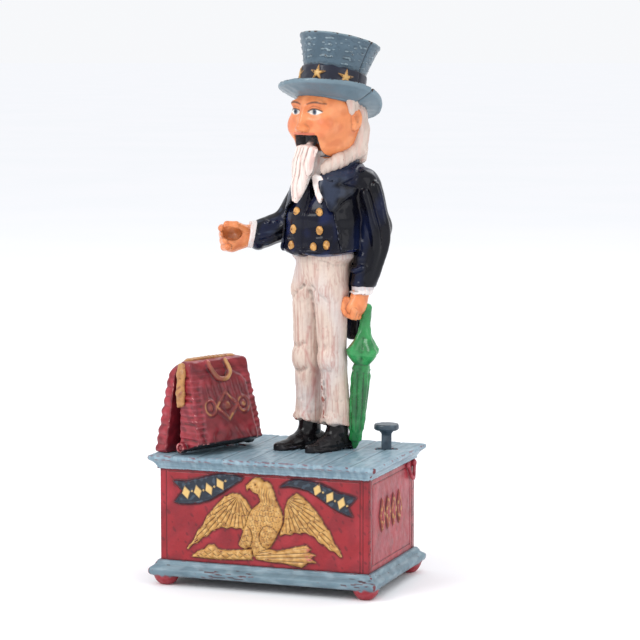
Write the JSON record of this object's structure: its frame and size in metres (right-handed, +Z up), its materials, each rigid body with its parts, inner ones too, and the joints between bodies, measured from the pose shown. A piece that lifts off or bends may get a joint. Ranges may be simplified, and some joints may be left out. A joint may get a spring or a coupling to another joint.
{
  "type": "mechanical coin bank",
  "caption": "Cast-iron mechanical bank: standing bearded figure in a tall hat drops a coin into a travelling bag on a panelled box.",
  "frame": {"origin": "bottom centre of the box on the plane of the ball feet", "axes": "+Z up, the relief panel faces -Y, the plunger knob is towards +X"},
  "size_m": [0.1274, 0.0878, 0.2922],
  "materials": {
    "bluegrey_paint": "satin enamel, worn at the edges",
    "plank_paint": "satin enamel, worn at the edges",
    "red_paint": "gloss enamel on cast iron",
    "figure_paint": "gloss enamel on cast iron, several colours",
    "beard_paint": "satin enamel",
    "green_paint": "gloss enamel",
    "bag_paint": "gloss enamel",
    "knob_paint": "satin enamel",
    "bare_iron": "as cast, blackened",
    "steel": "zinc plated",
    "spring_steel": "drawn wire"
  },
  "bodies": {
    "bank": {"base_frame": "bluegrey_paint", "front_panel": "red_paint", "back_panel": "red_paint", "left_end_panel": "red_paint", "right_end_panel": "red_paint", "top_plate": "plank_paint", "tie_bolts": "steel", "tie_nuts": "steel", "trap_screw": "steel", "figure_front": "figure_paint", "figure_back": "figure_paint", "figure_screws": "steel", "foot_screws": "steel", "arm_pin": "steel", "jaw_pin": "steel", "umbrella": "green_paint", "bag_rear": "bag_paint", "bag_pin": "steel", "bag_screws": "steel", "rocker_pin": "steel", "rocker_bracket": "bare_iron", "bracket_screws": "steel", "return_spring": "spring_steel"},
    "trap": {"coin_trap": "bare_iron"},
    "knob": {"plunger": "knob_paint"},
    "rocker_lever": {"rocker": "bare_iron"},
    "lift_rod": {"push_rod": "steel"},
    "arm": {"right_arm": "figure_paint"},
    "jaw": {"jaw_beard": "beard_paint"},
    "bag_half": {"bag_front": "bag_paint"},
    "link": {"bag_link": "steel"}
  },
  "joints": [
    {"name": "knob_press", "type": "slide", "parent": "bank", "child": "knob", "axis": [0, 0, -1], "range_m": [0, 0.008], "stiffness_N_per_m": 300, "springref_m": -0.008, "deforming": ["return_spring"]},
    {"name": "rocker_tilt", "type": "hinge", "parent": "bank", "child": "rocker_lever", "pos_m": [0.0312, 0.0125, 0.047], "axis": [0, 1, 0], "range_deg": [0, 25.97]},
    {"name": "rod_lift", "type": "slide", "parent": "bank", "child": "lift_rod", "axis": [0, 0, 1], "range_m": [0, 0.0036]},
    {"name": "arm_lower", "type": "hinge", "parent": "bank", "child": "arm", "pos_m": [0.00338, 0.02464, 0.212], "axis": [0.4894, -0.8721, 0], "range_deg": [0, 25]},
    {"name": "bag_open", "type": "hinge", "parent": "bank", "child": "bag_half", "pos_m": [-0.03619, -0.01431, 0.0736], "axis": [0.3987, 0.9171, 0], "range_deg": [0, 17]},
    {"name": "link_slide", "type": "slide", "parent": "bank", "child": "link", "axis": [-1, 0, 0], "range_m": [0, 0.00429]},
    {"name": "jaw_swing", "type": "hinge", "parent": "bank", "child": "jaw", "pos_m": [0.01878, 0.01484, 0.246], "axis": [-0.9205, 0.3907, 0], "range_deg": [0, 10]},
    {"name": "trap_turn", "type": "hinge", "parent": "bank", "child": "trap", "pos_m": [0.012, 0, 0.0041], "axis": [0, 0, 1], "range_deg": [0, 95]}
  ],
  "couplings": [
    {"joint": "rocker_tilt", "follows": "knob_press", "rad_per_m": 56.658},
    {"joint": "rod_lift", "follows": "knob_press", "ratio": 0.45024},
    {"joint": "arm_lower", "follows": "knob_press", "rad_per_m": 54.536},
    {"joint": "bag_open", "follows": "knob_press", "rad_per_m": 37.085},
    {"joint": "link_slide", "follows": "knob_press", "ratio": 0.53619},
    {"joint": "jaw_swing", "follows": "knob_press", "rad_per_m": 21.814}
  ]
}
